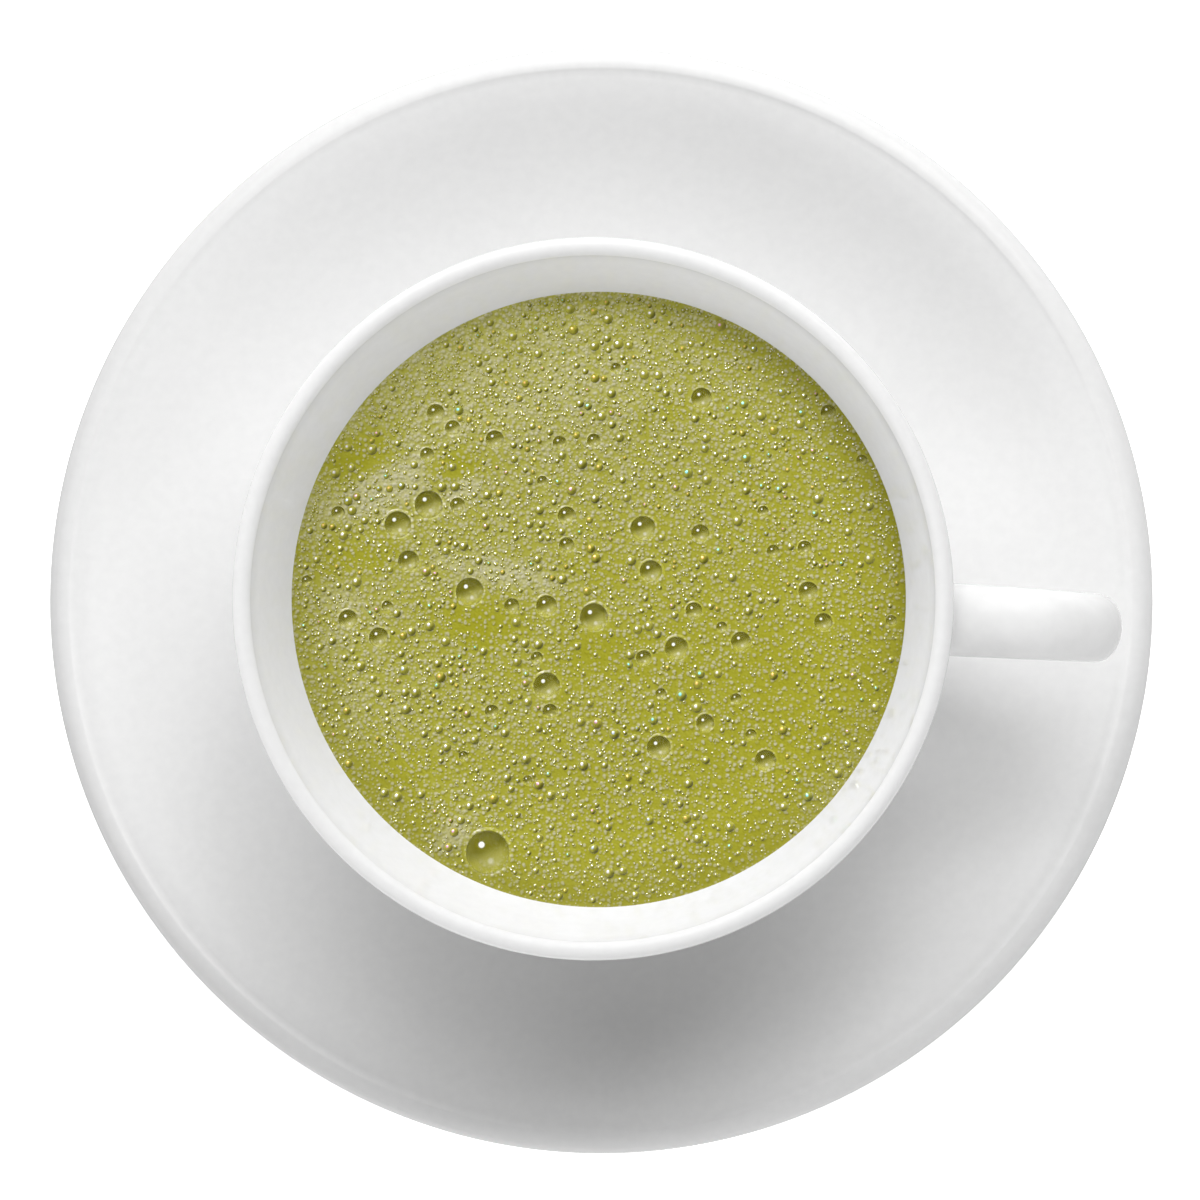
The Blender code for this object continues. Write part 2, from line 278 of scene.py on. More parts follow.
# the ear, in the plane through the cup's axis
earShape = {
    "top": 59 * mm,
    "crownReach": 59.2 * mm,      # the crown, from the cup's axis
    "crownRadius": 16 * mm,
    "armRise": 26,                # degrees that the straight arm rises from the wall
    "bendEnd": -50,               # degrees below level where the bend runs into the tail
    "tailHeight": 16.6 * mm,
    "tailEase": 9 * mm,
    "tailSlope": 0.07,
    "width": 10.3 * mm,
    "widthAtBend": 9.5 * mm,
    "thickness": 7.6 * mm,
    "thicknessAtTail": 6.4 * mm,
    "fillet": 1.5 * mm,           # the roots spread into the wall
    "filletAtTail": 2.4 * mm,
    "settle": 7 * mm,             # past this distance a section no longer follows the wall
    "sink": 0.7 * mm,             # how far the ends run into the wall
    "stepGap": 0.6 * mm,          # between the tail's sections and the root's own
    "sides": 44,
}
rootSteps = [0.02, 0.1, 0.25, 0.45, 0.75, 1.1, 1.6, 2.2, 3.0, 4.0]      # millimetres off the wall


def earStations():
    # (x, z, distance to the nearer root, negative inside the wall, that root's fillet, share of the way)
    e = earShape
    wall = outerWall()
    half = e["thickness"] / 2
    bendRadius = earReach - e["crownReach"]
    crown = arcPoints((e["crownReach"], e["top"] - e["crownRadius"]), e["crownRadius"] - half,
                      90 + e["armRise"], 90, 12)
    rise = math.radians(e["armRise"])
    armX, armZ = crown[0]
    while armX > radiusOn(wall, armZ):
        armX -= 0.02 * mm * math.cos(rise)
        armZ -= 0.02 * mm * math.sin(rise)
    path = [(armX - e["sink"] * math.cos(rise), armZ - e["sink"] * math.sin(rise))]
    path += [(armX + d * mm * math.cos(rise), armZ + d * mm * math.sin(rise)) for d in rootSteps]
    path += crown[:-1]
    path += arcPoints((e["crownReach"], e["top"] - bendRadius), bendRadius - half, 90, e["bendEnd"], 44)
    bend = path[-1]
    fall = math.radians(e["bendEnd"])
    ease = e["tailEase"]
    root = (radiusOn(wall, e["tailHeight"]), e["tailHeight"])
    tail = curvePoints(bend, (bend[0] + ease * math.sin(fall), bend[1] - ease * math.cos(fall)),
                       (root[0] + ease, root[1] + ease * e["tailSlope"]), root, 26)
    near = rootSteps[-1] * mm + e["stepGap"]
    path += [p for p in tail[1:-1] if p[0] - root[0] > near]
    path += [(root[0] + d * mm, root[1] + d * mm * e["tailSlope"]) for d in reversed(rootSteps)]
    path += [(root[0] - e["sink"], root[1] - e["sink"] * e["tailSlope"])]
    along = [-e["sink"]]
    for a, b in zip(path, path[1:]):
        along.append(along[-1] + math.dist(a, b))
    total = along[-1] - e["sink"]
    stations = []
    for (x, z), s in zip(path, along):
        share = min(max(s / total, 0), 1)
        if s < total / 2:
            stations.append((x, z, s, e["fillet"], share))
        else:
            stations.append((x, z, total - s, e["filletAtTail"], share))
    return stations


def makeEar():
    e = earShape
    stations = earStations()
    first = Vector((cupFoot.x + stations[0][0], 0, cupFoot.z + stations[0][1]))
    bpy.ops.object.select_all(action="DESELECT")
    bpy.ops.mesh.primitive_circle_add(vertices=e["sides"], radius=e["thickness"] / 2, location=first,
                                      rotation=(0, math.pi / 2, 0))
    ear = bpy.context.active_object
    ear.name = "ear"
    bpy.ops.object.transform_apply(location=True, rotation=True, scale=True)
    bpy.ops.object.mode_set(mode="EDIT")
    bpy.ops.mesh.select_all(action="SELECT")
    bpy.ops.transform.resize(value=(1, e["width"] / e["thickness"], 1), center_override=first)
    facing = math.radians(e["armRise"])
    bpy.ops.transform.rotate(value=facing, orient_axis="Y", center_override=first)
    halfWidth = e["width"] / 2
    halfThick = e["thickness"] / 2
    # each section faces along the way from the one before it to the one after it
    afters = stations[2:] + stations[-1:]
    for before, (x, z, *_, share), after in zip(stations, stations[1:], afters):
        place = Vector((cupFoot.x + x, 0, cupFoot.z + z))
        step = (x - before[0], 0, z - before[1])
        heading = math.atan2(after[1] - before[1], after[0] - before[0])
        if heading > 0.5 * math.pi:
            heading -= 2 * math.pi
        newWidth = (e["width"] - (e["width"] - e["widthAtBend"]) * math.sin(math.pi * share)) / 2
        newThick = (e["thickness"] + (e["thicknessAtTail"] - e["thickness"]) * share) / 2
        bpy.ops.mesh.extrude_region_move(TRANSFORM_OT_translate={"value": step})
        bpy.ops.transform.rotate(value=heading - facing, orient_axis="Y", center_override=place)
        grow = newThick / halfThick
        bpy.ops.transform.resize(value=(grow, newWidth / halfWidth, grow), center_override=place)
        facing = heading
        halfWidth = newWidth
        halfThick = newThick
    bpy.ops.mesh.select_all(action="SELECT")
    bpy.ops.mesh.fill_holes(sides=0)
    bpy.ops.mesh.normals_make_consistent(inside=False)
    bpy.ops.object.mode_set(mode="OBJECT")
    seatRoots(ear, stations)
    return ear


def seatRoots(ear, stations):
    # near a root each section spreads into a fillet and follows the round of the wall
    e = earShape
    wall = outerWall(80)
    for i, (x, z, distance, fillet, _) in enumerate(stations):
        if distance > e["settle"]:
            continue
        middle = Vector((cupFoot.x + x, 0, cupFoot.z + z))
        inside = max(distance, 0)
        spread = 0
        if inside < fillet:
            spread = fillet - math.sqrt(fillet ** 2 - (fillet - inside) ** 2)
        follow = (1 - inside / e["settle"]) ** 2
        here = radiusOn(wall, z)
        for v in ear.data.vertices[i * e["sides"]:(i + 1) * e["sides"]]:
            offset = v.co - middle
            v.co = middle + offset * (1 + spread / offset.length)
            reach = radiusOn(wall, v.co.z - cupFoot.z)
            v.co.x += (math.sqrt(reach ** 2 - v.co.y ** 2) - here - (v.co.x - middle.x)) * follow


def makeCup():
    piece = turnShape("cup_porcelain", cupOutline(), cupFoot, cupShape["sides"])
    joinBoolean(piece, makeEar(), "UNION")
    smooth(piece, 34)
    return piece


cup = makeCup()
print("cup modelled")


# materials
def toLinear(shown):
    # a colour as seen on a screen, 0 to 255, to the numbers that a shader takes
    parts = [c / 255 for c in shown]
    return tuple(c / 12.92 if c <= 0.04045 else ((c + 0.055) / 1.055) ** 2.4 for c in parts)


def addNode(tree, kind, values=None, **settings):
    made = tree.nodes.new(kind)
    for key, value in settings.items():
        setattr(made, key, value)
    for key, value in (values or {}).items():
        if isinstance(value, bpy.types.NodeSocket):
            tree.links.new(value, made.inputs[key])
        else:
            made.inputs[key].default_value = value
    return made


def addGroup(tree, group, values):
    return addNode(tree, "ShaderNodeGroup", values, node_tree=group)


def mixColours(tree, share, first, second):
    made = addNode(tree, "ShaderNodeMix", {0: share, 6: first, 7: second}, data_type="RGBA")
    return made.outputs[2]


def addMath(tree, operation, *values):
    made = addNode(tree, "ShaderNodeMath", dict(enumerate(values)), operation=operation)
    return made.outputs[0]


def addRange(tree, value, low, high, toLow=0.0, toHigh=1.0):
    made = addNode(tree, "ShaderNodeMapRange", {"Value": value, "From Min": low, "From Max": high,
                                                "To Min": toLow, "To Max": toHigh},
                   interpolation_type="SMOOTHSTEP")
    return made.outputs["Result"]


def addDot(tree, where, middle, full, none):
    # 1 within the one distance of its middle, 0 beyond the other
    away = addNode(tree, "ShaderNodeVectorMath", {0: where, 1: middle}, operation="DISTANCE")
    return addRange(tree, away.outputs["Value"], full, none, 1.0, 0.0)


def startMaterial(name):
    material = bpy.data.materials.new(name)
    material.use_nodes = True
    return material.node_tree, material.node_tree.nodes["Principled BSDF"], material


def startGroup(name, inputs, outputs):
    tree = bpy.data.node_groups.new(name, "ShaderNodeTree")
    for label, kind in inputs.items():
        tree.interface.new_socket(label, in_out="INPUT", socket_type=kind)
    for label, kind in outputs.items():
        tree.interface.new_socket(label, in_out="OUTPUT", socket_type=kind)
    return tree, addNode(tree, "NodeGroupInput"), addNode(tree, "NodeGroupOutput")


def makeSoftPatches():
    # an even cloudiness, its patches Size across
    tree, given, out = startGroup("softPatches", {"Vector": "NodeSocketVector", "Size": "NodeSocketFloat"},
                                  {"Value": "NodeSocketFloat"})
    scale = addMath(tree, "DIVIDE", 1.0, given.outputs["Size"])
    cloud = addNode(tree, "ShaderNodeTexNoise", {"Vector": given.outputs["Vector"], "Scale": scale,
                                                 "Detail": 2.0, "Roughness": 0.55})
    spread = addNode(tree, "ShaderNodeMapRange", {"Value": cloud.outputs["Fac"],
                                                  "From Min": 0.3, "From Max": 0.7})
    tree.links.new(spread.outputs["Result"], out.inputs["Value"])
    return tree


def makeMicroBubbles():
    # packed bubbles Size apart: the glint is a painted highlight on each, towards the lamp, the shade is
    # painted shade on the far side of it, Pick its own number
    tree, given, out = startGroup(
        "microBubbles", {"Vector": "NodeSocketVector", "Size": "NodeSocketFloat"},
        {"PaintedGlint": "NodeSocketFloat", "PaintedShade": "NodeSocketFloat", "Height": "NodeSocketFloat",
         "Pick": "NodeSocketFloat"})
    scale = addMath(tree, "DIVIDE", 1.0, given.outputs["Size"])
    flat = addNode(tree, "ShaderNodeVectorMath", {0: given.outputs["Vector"], 1: (1, 1, 0)},
                   operation="MULTIPLY")
    cells = addNode(tree, "ShaderNodeTexVoronoi", {"Vector": flat.outputs["Vector"], "Scale": scale,
                                                   "Randomness": 0.9}, voronoi_dimensions="2D")
    away = addNode(tree, "ShaderNodeVectorMath", {0: flat.outputs["Vector"], 1: cells.outputs["Position"]},
                   operation="SUBTRACT")
    local = addNode(tree, "ShaderNodeVectorMath", {0: away.outputs["Vector"], "Scale": scale},
                    operation="SCALE")
    # each mark's middle, and how far from it the mark is full and gone, as shares of Size; the painted glint
    # lies towards the lamp and the painted shade away from it
    lit = skyDirection(lampAzimuth, 90) * 0.1
    marks = {"PaintedGlint": (lit, 0.1, 0.38), "PaintedShade": (lit * -2.4, 0.18, 0.46), "Height": (lit * 0, 0.0, 0.5)}
    for label, (middle, full, none) in marks.items():
        tree.links.new(addDot(tree, local.outputs["Vector"], middle, full, none), out.inputs[label])
    pick = addNode(tree, "ShaderNodeSeparateColor", {"Color": cells.outputs["Color"]})
    tree.links.new(pick.outputs["Red"], out.inputs["Pick"])
    return tree


softPatches = makeSoftPatches()
microBubbles = makeMicroBubbles()


glaze = {
    "white": (0.86, 0.86, 0.858),
    "shade": (0.835, 0.835, 0.834),
    "grain": 1.6 * mm,            # patches of the white and the shade
    "gloss": (0.09, 0.13),        # roughness, from the smooth patches to the dull ones
    "ripple": 9 * mm,
    "rippleHeight": 0.006 * mm,
}


def makeGlaze():
    tree, shader, material = startMaterial("white_glaze")
    place = addNode(tree, "ShaderNodeTexCoord").outputs["Object"]
    ripple = addGroup(tree, softPatches, {"Vector": place, "Size": glaze["ripple"]})
    grain = addGroup(tree, softPatches, {"Vector": place, "Size": glaze["grain"]})
    colour = mixColours(tree, grain.outputs["Value"], (*glaze["white"], 1), (*glaze["shade"], 1))
    smoothest, dullest = glaze["gloss"]
    gloss = addNode(tree, "ShaderNodeMapRange", {"Value": ripple.outputs["Value"],
                                                 "To Min": smoothest, "To Max": dullest})
    bump = addNode(tree, "ShaderNodeBump", {"Height": ripple.outputs["Value"], "Strength": 1.0,
                                            "Distance": glaze["rippleHeight"]})
    tree.links.new(colour, shader.inputs["Base Color"])
    tree.links.new(gloss.outputs["Result"], shader.inputs["Roughness"])
    tree.links.new(bump.outputs["Normal"], shader.inputs["Normal"])
    shader.inputs["IOR"].default_value = 1.5
    return material


whiteGlaze = makeGlaze()
for piece in (saucer, cup):
    piece.data.materials.append(whiteGlaze)
print("glaze made")

# drink, seen from above; places in millimetres right of and up from its middle, as the picture shows them
drinkShape = {
    "sides": 200,
    "level": 47.5 * mm,
    "bite": 0.12 * mm,            # the edge reaches this far into the wall
    "climb": 0.3 * mm,            # and rises this much where it meets it
    "climbReach": 1.1 * mm,
    "ringStep": 1.0 * mm,
    "swell": 0.1 * mm,            # gentle unevenness of the surface
    "swellSize": 6 * mm,
    "swellEase": 3 * mm,          # it dies away over this distance from the edge
}
level = cupFoot.z + drinkShape["level"]
brimRadius = radiusOn(innerWall(120), drinkShape["level"])


def onDrink(right, up):
    rise = Vector((0, 0, level - cupFoot.z))
    return cupFoot + pictureRight * right * mm + pictureUp * up * mm + rise


def toPicture(x, y):
    # from the frame's metres to millimetres right and up
    dx = (x - cupFoot.x) / mm
    dy = (y - cupFoot.y) / mm
    return dx * pictureRight.x + dy * pictureRight.y, dx * pictureUp.x + dy * pictureUp.y


# the froth's streaks and the clear places in it: right, up, half length, half width, tilt in degrees, and how
# much paler the froth is there, or clearer where it is below 0
frothPatches = [
    (-30.3, 15.6, 7.0, 2.2, 22, 0.75), (-18.7, 15.6, 2.2, 1.4, 30, 0.8), (-12.4, 3.6, 8.5, 2.0, -8, 0.5),
    (-20.3, -33.0, 3.2, 2.0, 50, 0.9), (33.5, -25.0, 11.0, 3.0, 50, 0.45),
    (-2.0, 28.0, 20.0, 12.0, 10, 0.14), (-36.0, -1.2, 4.0, 4.5, 0, 0.16), (-32.4, -16.0, 7.0, 6.0, -50, 0.14),
    (0, -40.0, 12.0, 3.0, 0, 0.2), (-33.6, 19.8, 5.0, 2.6, 30, -0.75), (-20.0, 18.7, 4.2, 2.4, 10, -0.65),
    (-34.0, 6.1, 6.5, 2.6, 5, -0.5), (-16.8, -3.4, 5.5, 3.2, -10, -0.6), (0.2, -7.8, 6.0, 3.4, 15, -0.3),
    (9.7, 26.3, 4.0, 2.2, 0, -0.25), (-28.2, -22.9, 5.5, 3.6, -30, -0.25), (-1.0, 3.6, 4.0, 2.0, 0, -0.25),
    (22.0, -12.0, 16.0, 11.0, -20, -0.14),
]
frothSpread = {
    "amount": 0.47,               # in the middle of the drink, apart from the patches
    "lean": 0.0045,               # more towards the picture's upper left, for each millimetre
    "most": 1.2,
}


def frothAt(right, up):
    # 0 where the drink is clear, 1 where the froth is white
    amount = frothSpread["amount"] + frothSpread["lean"] * (up - right)
    for cx, cy, halfLong, halfWide, tilt, paler in frothPatches:
        a = math.radians(tilt)
        u = (right - cx) * math.cos(a) + (up - cy) * math.sin(a)
        v = (up - cy) * math.cos(a) - (right - cx) * math.sin(a)
        amount = amount + paler * np.exp(-(u / halfLong) ** 2 - (v / halfWide) ** 2)
    return np.clip(amount, 0, frothSpread["most"])


def swellAt(place):
    d = drinkShape
    out = math.hypot(place.x - cupFoot.x, place.y)
    ease = min(max((brimRadius - d["climbReach"] - out) / d["swellEase"], 0), 1)
    return d["swell"] * ease * noise.noise(Vector((place.x, place.y, level)) / d["swellSize"])


def drinkOutline():
    d = drinkShape
    wall = [(r, z) for r, z in reversed(innerWall()) if z < d["level"] - 0.4 * mm]
    under = [(r + d["bite"], z) for r, z in wall[::3]]
    edge = brimRadius + d["bite"]
    flat = edge - d["climbReach"]
    climb = curvePoints((edge, d["level"] + d["climb"]), (edge - 0.25 * mm, d["level"] + 0.3 * d["climb"]),
                        (edge - 0.6 * mm, d["level"]), (flat, d["level"]), 6)
    top = [(flat - (i + 1) * d["ringStep"], d["level"]) for i in range(int(flat / d["ringStep"]))]
    return [(0, cupShape["floor"] - d["bite"])] + under + climb + top + [(0, d["level"])]


# right, up and radius of the bubbles that stand out
bubbles = [
    (-15.5, -35.4, 3.1), (-23.8, 13.3, 2.0), (-28.1, 10.5, 1.9), (-26.6, 5.4, 1.5), (-18.0, 1.1, 2.0),
    (-22.8, 26.1, 1.3), (-20.4, 24.0, 1.1), (-14.5, 22.4, 1.3), (-24.0, 20.3, 1.0), (-19.7, 13.2, 1.1),
    (-4.4, 11.7, 1.3), (-4.4, 7.6, 1.1), (-5.4, 21.9, 1.0), (-36.5, 12.1, 1.0), (-40.9, 2.6, 0.8),
    (-7.8, 16.5, 0.8), (14.5, 28.1, 1.5), (32.2, 26.1, 1.1), (-0.6, 22.2, 1.0), (36.9, 19.4, 0.8),
    (6.3, 9.9, 1.8), (14.3, 9.2, 1.3), (7.4, 3.9, 1.6), (29.4, 1.1, 1.4), (24.5, 6.7, 0.9),
    (28.9, 7.2, 1.0), (23.1, 12.3, 0.8), (2.5, 32.3, 0.8), (-35.1, -2.8, 1.4), (-29.6, -0.9, 0.8),
    (-30.8, -5.3, 1.4), (-7.2, -0.9, 1.5), (-12.1, -0.9, 1.1), (-0.6, -2.5, 2.0), (-8.6, -8.2, 0.9),
    (-7.2, -12.1, 1.9), (-14.9, -15.7, 1.0), (-6.7, -15.7, 1.1), (-9.9, -25.3, 0.7), (-18.9, -21.9, 0.7),
    (13.4, -1.6, 1.2), (31.5, -3.2, 1.3), (17.3, -3.9, 0.8), (20.0, -5.9, 1.4), (11.0, -6.9, 1.7),
    (6.4, -8.2, 1.1), (8.8, -13.2, 0.8), (19.3, -13.9, 0.8), (15.0, -17.3, 1.3), (8.5, -20.7, 1.7),
    (21.4, -18.9, 0.8), (23.4, -22.5, 1.5), (41.0, -3.0, 0.8),
]
bubbleShape = {
    "sides": 28,
    "filmSides": 44,
    "skirt": 1.18,                # this and the next seven are shares of the bubble's radius
    "crest": 0.008,               # of the froth's collar, above the surface
    "bowl": 0.96,
    "depth": 0.55,
    "plug": 1.05,
    "cut": 1.09,                  # the hole in the drink that takes the plug
    "dome": 0.44,                 # the film's rise
    "film": 0.02,                 # its thickness
    "darkSide": 113,              # degrees from the picture's right to the side of a large bubble given painted shade
    # and the side of the small ones given painted shade
    "smallDarkSide": 320,
}


def bubbleHollow():
    # the wet bowl under a bubble and the collar that the froth makes round it, for a radius of a metre
    b = bubbleShape
    line = [(0, -b["depth"] - 0.06), (b["plug"] * 0.6, -b["depth"] * 0.75), (b["plug"], -0.3),
            (b["plug"], -0.08), (b["skirt"], -0.05), (b["skirt"], -0.01)]
    line += [(b["skirt"] - 0.05, 0.006), (1.02, b["crest"]), (0.985, b["crest"] - 0.006), (0.965, -0.04)]
    line += [(b["bowl"] * math.cos(a), -b["depth"] * math.sin(a)) for a in np.radians(np.linspace(0, 82, 11))]
    return line + [(0, -b["depth"])]


def bubbleFilm():
    b = bubbleShape
    outer = domePoints(1.0, b["crest"], b["dome"], 13)
    inner = domePoints(1.0 - b["film"], b["crest"], b["dome"] - b["film"], 6)
    return outer + inner[::-1]


def domePoints(radius, base, rise, steps):
    # from the crown down to the edge
    sphere = (radius ** 2 + rise ** 2) / (2 * rise)
    widest = math.asin(min(radius / sphere, 1))
    angles = [widest * i / steps for i in range(steps + 1)]
    return [(sphere * math.sin(a), base + rise - sphere * (1 - math.cos(a))) for a in angles]


def makeHoleCutters():
    made = []
    for right, up, radius in bubbles:
        bpy.ops.object.select_all(action="DESELECT")
        bpy.ops.mesh.primitive_cylinder_add(vertices=24, radius=radius * bubbleShape["cut"] * mm,
                                            depth=4 * radius * mm, location=onDrink(right, up))
        made.append(bpy.context.active_object)
    bpy.ops.object.select_all(action="DESELECT")
    for piece in made:
        piece.select_set(True)
    bpy.context.view_layer.objects.active = made[0]
    bpy.ops.object.join()
    bpy.ops.object.transform_apply(location=True, rotation=True, scale=True)
    return bpy.context.active_object


def makeDrink():
    d = drinkShape
    piece = turnShape("matcha_drink", drinkOutline(), cupFoot, d["sides"])
    joinBoolean(piece, makeHoleCutters(), "DIFFERENCE")
    for v in piece.data.vertices:
        out = math.hypot(v.co.x - cupFoot.x, v.co.y)
        if v.co.z > level - 0.02 * mm and out < brimRadius - d["climbReach"]:
            v.co.z += swellAt(v.co)
    smooth(piece, 50)
    return piece


# painted shade and painted light by the wall
brim = {
    "edgeReach": 8,               # millimetres from the wall over which painted shade darkens the drink
    "edgePaintedShade": 0.55,
    "edgeEase": 0.45,             # less of it at the picture's top, more at its bottom
    "paintedLightReach": 18,              # millimetres over which painted light keeps the froth at the top pale in the wall's shade
    "paintedLight": 0.27,
}


def keepOnPoints(mesh, label, values):
    made = mesh.attributes.new(label, "FLOAT", "POINT")
    made.data.foreach_set("value", values.astype(np.float32))


def paintFrothAndShade(mesh):
    # for the material: the froth's amount, painted shade by the wall, less towards the picture's top, and
    # painted light that keeps the froth paler at the top where the wall shades it
    co = np.zeros(len(mesh.vertices) * 3, np.float32)
    mesh.vertices.foreach_get("co", co)
    co = co.reshape(-1, 3)
    right, up = toPicture(co[:, 0], co[:, 1])
    out = np.hypot(right, up)
    above = up / np.maximum(out, 1)
    nearEdge = np.clip(1 - (brimRadius / mm - out) / brim["edgeReach"], 0, 1)
    nearWall = np.clip(1 - (brimRadius / mm - out) / brim["paintedLightReach"], 0, 1)
    keepOnPoints(mesh, "froth", frothAt(right, up))
    keepOnPoints(mesh, "wall", nearEdge * (brim["edgePaintedShade"] - brim["edgeEase"] * above))
    keepOnPoints(mesh, "paintedLight", brim["paintedLight"] * nearWall * np.clip(above, 0, 1) ** 3)


def copyOver(name, model, places, darkSide):
    # joins a copy of the model for each (right, up, radius, spin) into one mesh; its points keep their spot,
    # towards the side of the bubble given painted shade and across as shares of its radius, and whether they
    # are in its bowl
    base = np.array([v.co for v in model.data.vertices])
    faces = [list(f.vertices) for f in model.data.polygons]
    places = np.array(places)
    spin = places[:, 3][:, None]
    size = places[:, 2][:, None] * mm
    middle = [onDrink(right, up) for right, up, *_ in places]
    middle = np.array([place + Vector((0, 0, swellAt(place))) for place in middle])
    x = middle[:, 0][:, None] + size * (base[:, 0] * np.cos(spin) - base[:, 1] * np.sin(spin))
    y = middle[:, 1][:, None] + size * (base[:, 0] * np.sin(spin) + base[:, 1] * np.cos(spin))
    z = middle[:, 2][:, None] + size * base[:, 2]
    points = np.stack([x, y, z], 2).reshape(-1, 3)
    count = len(base)
    allFaces = [[i + k * count for i in face] for k in range(len(places)) for face in faces]
    mesh = bpy.data.meshes.new(name)
    mesh.from_pydata(points.tolist(), [], allFaces)
    mesh.shade_smooth()
    piece = bpy.data.objects.new(name, mesh)
    bpy.context.scene.collection.objects.link(piece)
    dark = skyDirection(darkSide, 90)
    dx = (x - middle[:, 0][:, None]) / size
    dy = (y - middle[:, 1][:, None]) / size
    spot = np.stack([dx * dark.x + dy * dark.y, dx * dark.y - dy * dark.x, 0 * dx], 2)
    spots = mesh.attributes.new("spot", "FLOAT_VECTOR", "POINT")
    spots.data.foreach_set("vector", spot.astype(np.float32).reshape(-1))
    # the bowl ends over the last twenty-fifth of the radius
    keepOnPoints(mesh, "bowl", np.tile(np.clip(25 * (1.0 - np.hypot(base[:, 0], base[:, 1])), 0, 1),
                                       len(places)))
    paintFrothAndShade(mesh)
    return piece


drink = makeDrink()
paintFrothAndShade(drink.data)
print("drink modelled")

standing = [(right, up, radius, 0.0) for right, up, radius in bubbles]
hollowModel = turnShape("hollow_model", bubbleHollow(), (0, 0, 0), bubbleShape["sides"])
filmModel = turnShape("film_model", bubbleFilm(), (0, 0, 0), bubbleShape["filmSides"])
hollows = copyOver("bubble_hollows", hollowModel, standing, bubbleShape["darkSide"])
films = copyOver("bubble_films", filmModel, standing, bubbleShape["darkSide"])
bpy.data.objects.remove(hollowModel)
bpy.data.objects.remove(filmModel)
print("large bubbles modelled")

# the small bubbles; the lengths are millimetres, and a chance is that of a place being kept, first where the
# drink is clear, then how much is added by the froth
scatter = {
    "seed": 11,
    "clearing": 1.12,             # of a large bubble's radius, where no other stands
    "small": 880,
    "smallRadius": (0.34, 0.78),
    "smallLean": 2.8,             # above 1, there are more of the smaller ones
    "smallMargin": 0.2,           # from the wall
    "smallChance": (0.15, 0.95),
    "smallGap": 0.95,             # of its radius, from its middle to the next one's edge
    "tries": 30,
    "tiny": 3200,
    "tinyRadius": (0.16, 0.32),
    "tinyMargin": 0.0,
    "tinyChance": (0.08, 1.0),
    "tinyGap": 0.7,
}


def makeBead(name, segments, rings):
    # a low round bubble, cut off below the surface
    bpy.ops.object.select_all(action="DESELECT")
    bpy.ops.mesh.primitive_uv_sphere_add(segments=segments, ring_count=rings, radius=1, location=(0, 0, 0.05))
    bead = bpy.context.active_object
    bead.name = name
    bpy.ops.object.transform_apply(location=True, rotation=True, scale=True)
    bpy.ops.object.mode_set(mode="EDIT")
    bpy.ops.mesh.select_all(action="SELECT")
    bpy.ops.mesh.bisect(plane_co=(0, 0, -0.3), plane_no=(0, 0, 1), use_fill=True, clear_inner=True)
    bpy.ops.mesh.select_all(action="SELECT")
    bpy.ops.transform.resize(value=(1, 1, 0.62), center_override=(0, 0, 0))
    bpy.ops.mesh.normals_make_consistent(inside=False)
    bpy.ops.object.mode_set(mode="OBJECT")
    return bead


def tryPlace(rng, kind, radius, others):
    # a place for one bubble, or None where the froth or another bubble turns it away
    out = (brimRadius / mm - radius - scatter[kind + "Margin"]) * math.sqrt(rng.random())
    angle = 2 * math.pi * rng.random()
    right = out * math.cos(angle)
    up = out * math.sin(angle)
    least, more = scatter[kind + "Chance"]
    if rng.random() > least + more * frothAt(right, up):
        return None
    room = np.hypot(others[:, 0] - right, others[:, 1] - up) - others[:, 2]
    if room.min() <= radius * scatter[kind + "Gap"]:
        return None
    return right, up, radius, angle


def scatterBubbles():
    # the small ones keep clear of each other, the tiny ones only of the large and the small
    rng = np.random.default_rng(scatter["seed"])
    taken = [(right, up, radius * scatter["clearing"]) for right, up, radius in bubbles]
    small = []
    low, high = scatter["smallRadius"]
    sizes = low + (high - low) * rng.random(scatter["small"]) ** scatter["smallLean"]
    for radius in np.sort(sizes)[::-1]:
        others = np.array(taken)
        for _ in range(scatter["tries"]):
            place = tryPlace(rng, "small", radius, others)
            if place:
                taken.append(place[:3])
                small.append(place)
                break
    tiny = []
    others = np.array(taken)
    low, high = scatter["tinyRadius"]
    while len(tiny) < scatter["tiny"]:
        place = tryPlace(rng, "tiny", low + (high - low) * rng.random(), others)
        if place:
            tiny.append(place)
    return small, tiny


smallPlaces, tinyPlaces = scatterBubbles()
smallModel = makeBead("small_model", 10, 8)
tinyModel = makeBead("tiny_model", 8, 6)
# a few of the small ones shimmer, in their gloss and their painted glint: which of every eighteen, and in
# what tint
kinds = {"clear": [], "rosy": [], "aqua": [], "amber": [], "blue": []}
turns = {1: "rosy", 4: "aqua", 7: "amber", 12: "amber", 15: "blue"}
for i, place in enumerate(smallPlaces):
    kinds[turns.get(i % 18, "clear")].append(place)
beads = {kind: copyOver("small_bubbles_" + kind, smallModel, places, bubbleShape["smallDarkSide"])
         for kind, places in kinds.items()}
beads["tiny"] = copyOver("tiny_bubbles", tinyModel, tinyPlaces, bubbleShape["smallDarkSide"])
bpy.data.objects.remove(smallModel)
bpy.data.objects.remove(tinyModel)
print("small bubbles scattered:", len(smallPlaces), "and", len(tinyPlaces))

